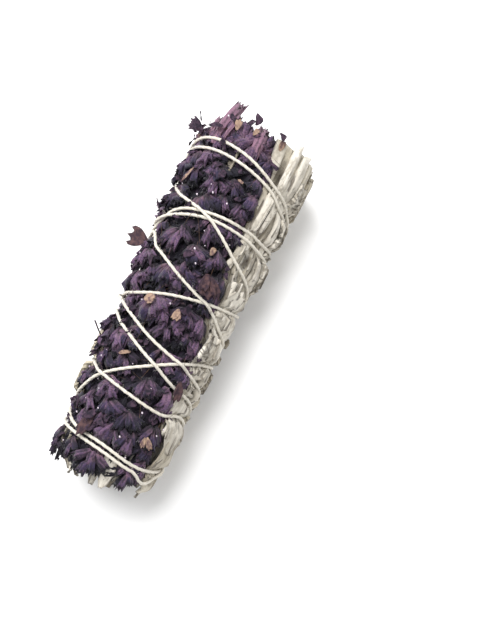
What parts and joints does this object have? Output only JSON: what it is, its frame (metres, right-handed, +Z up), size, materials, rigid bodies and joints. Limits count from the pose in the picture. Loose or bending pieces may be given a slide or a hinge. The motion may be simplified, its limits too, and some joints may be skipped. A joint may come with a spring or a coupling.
{
  "type": "smudge stick",
  "caption": "Dried white sage bundle with purple statice laid along one side, bound criss-cross with cotton twine and lying on its side.",
  "frame": {"origin": "on the surface that the stick lies on, under the middle of its overall length and width", "axes": "+X along the stick towards its cut stem ends, +Z up away from the surface, +Y across"},
  "size_m": [0.1139, 0.036, 0.0362],
  "materials": {
    "leaf": "matte felted dried leaf",
    "stem": "matte dry stem",
    "flower": "matte papery calyx",
    "twine": "matte cotton string"
  },
  "bodies": {
    "root": {"twine": "twine", "bare_stem_1": "stem", "bare_stem_2": "stem", "bare_stem_3": "stem", "sage_sprig_1": "leaf", "sage_sprig_2": "leaf", "sage_sprig_3": "leaf", "sage_sprig_4": "leaf", "sage_sprig_5": "leaf", "sage_sprig_6": "leaf", "sage_sprig_7": "leaf", "sage_sprig_8": "leaf", "sage_sprig_9": "leaf", "sage_sprig_10": "leaf", "statice_spray_1": "flower", "statice_spray_2": "flower", "statice_spray_3": "flower", "statice_spray_4": "flower"}
  },
  "joints": []
}
